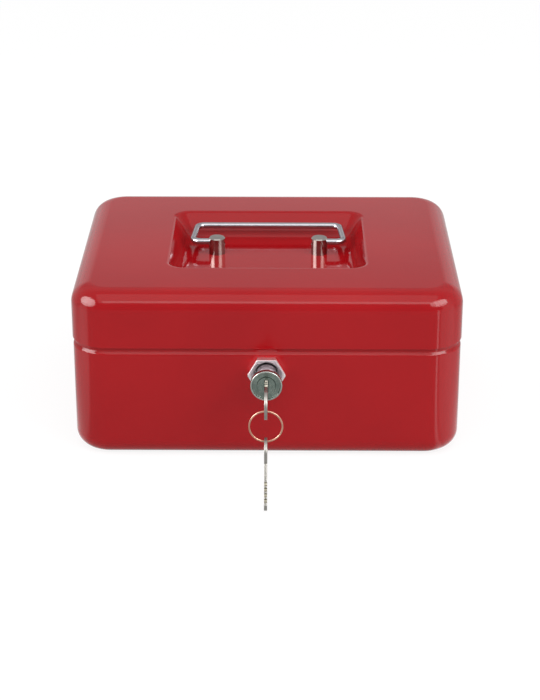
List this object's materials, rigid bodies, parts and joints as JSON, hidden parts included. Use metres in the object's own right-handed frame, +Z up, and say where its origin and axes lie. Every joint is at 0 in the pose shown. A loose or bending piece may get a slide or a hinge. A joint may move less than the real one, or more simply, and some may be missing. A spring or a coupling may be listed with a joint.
{
  "type": "cash box",
  "caption": "Hinged red sheet-steel cash box with a folding wire handle in a recessed lid, a push-to-lock cylinder, keys on a split ring and a lift-out coin tray.",
  "frame": {"origin": "centre of the box's underside, on the table", "axes": "+Z up, -Y out of the front where the lock is, +X to the right seen from the front"},
  "size_m": [0.2, 0.2273, 0.09],
  "materials": {
    "red_paint": "smooth semi-gloss baked enamel",
    "bright_wire": "bright plated wire",
    "post_chrome": "turned and plated",
    "lock_chrome": "satin chrome",
    "key_nickel": "stamped, nickel plated",
    "ring_steel": "drawn wire",
    "zinc_steel": "zinc plated",
    "plug_metal": "nickel plated brass",
    "wafer_brass": "stamped brass",
    "tray_plastic": "moulded, fine grain"
  },
  "bodies": {
    "base": {"base_shell": "red_paint", "hinge_leaf_base_left": "red_paint", "hinge_leaf_base_right": "red_paint", "hinge_pin_left": "zinc_steel", "hinge_pin_right": "zinc_steel", "lock_housing": "lock_chrome", "lock_nut": "zinc_steel", "lock_end_cap": "zinc_steel", "plunger_spring": "zinc_steel"},
    "lid": {"lid_shell": "red_paint", "lid_recess": "red_paint", "handle_post_left": "post_chrome", "handle_post_right": "post_chrome", "post_washers": "zinc_steel", "hinge_leaf_lid_left": "red_paint", "hinge_leaf_lid_right": "red_paint", "lid_catch": "zinc_steel"},
    "handle": {"handle": "bright_wire"},
    "plunger": {"lock_plunger": "lock_chrome", "lock_head": "lock_chrome"},
    "plug": {"lock_plug": "plug_metal", "lock_wafers": "wafer_brass"},
    "key": {"key": "key_nickel"},
    "ring": {"key_ring": "ring_steel"},
    "spare_key": {"spare_key": "key_nickel"},
    "tray": {"coin_tray": "tray_plastic", "tray_dividers": "tray_plastic"}
  },
  "joints": [
    {"name": "lid_open", "type": "hinge", "parent": "base", "child": "lid", "pos_m": [0, 0.0824, 0.0598], "axis": [-1, 0, 0], "range_deg": [0, 110]},
    {"name": "handle_swing", "type": "hinge", "parent": "lid", "child": "handle", "pos_m": [0, 0.0076, 0.08615], "axis": [1, 0, 0], "range_deg": [-10, 190]},
    {"name": "plunger_press", "type": "slide", "parent": "base", "child": "plunger", "axis": [0, 1, 0], "range_m": [0, 0.009], "stiffness_N_per_m": 300, "springref_m": -0.004, "deforming": ["plunger_spring"]},
    {"name": "plug_turn", "type": "hinge", "parent": "plunger", "child": "plug", "pos_m": [0, -0.08, 0.0482], "axis": [0, 1, 0], "range_deg": [0, 90]},
    {"name": "key_pull", "type": "slide", "parent": "plug", "child": "key", "axis": [0, -1, 0], "range_m": [-0.0091, 0.0065]},
    {"name": "ring_swing", "type": "hinge", "parent": "key", "child": "ring", "pos_m": [0, -0.1231, 0.0463], "axis": [-1, 0, 0], "range_deg": [-10, 60]},
    {"name": "spare_key_swing", "type": "hinge", "parent": "ring", "child": "spare_key", "pos_m": [0, -0.1231, 0.03], "axis": [-1, 0, 0], "range_deg": [-35, 50]},
    {"name": "tray_lift", "type": "slide", "parent": "base", "child": "tray", "axis": [0, 0, 1], "range_m": [0, 0.008]}
  ]
}
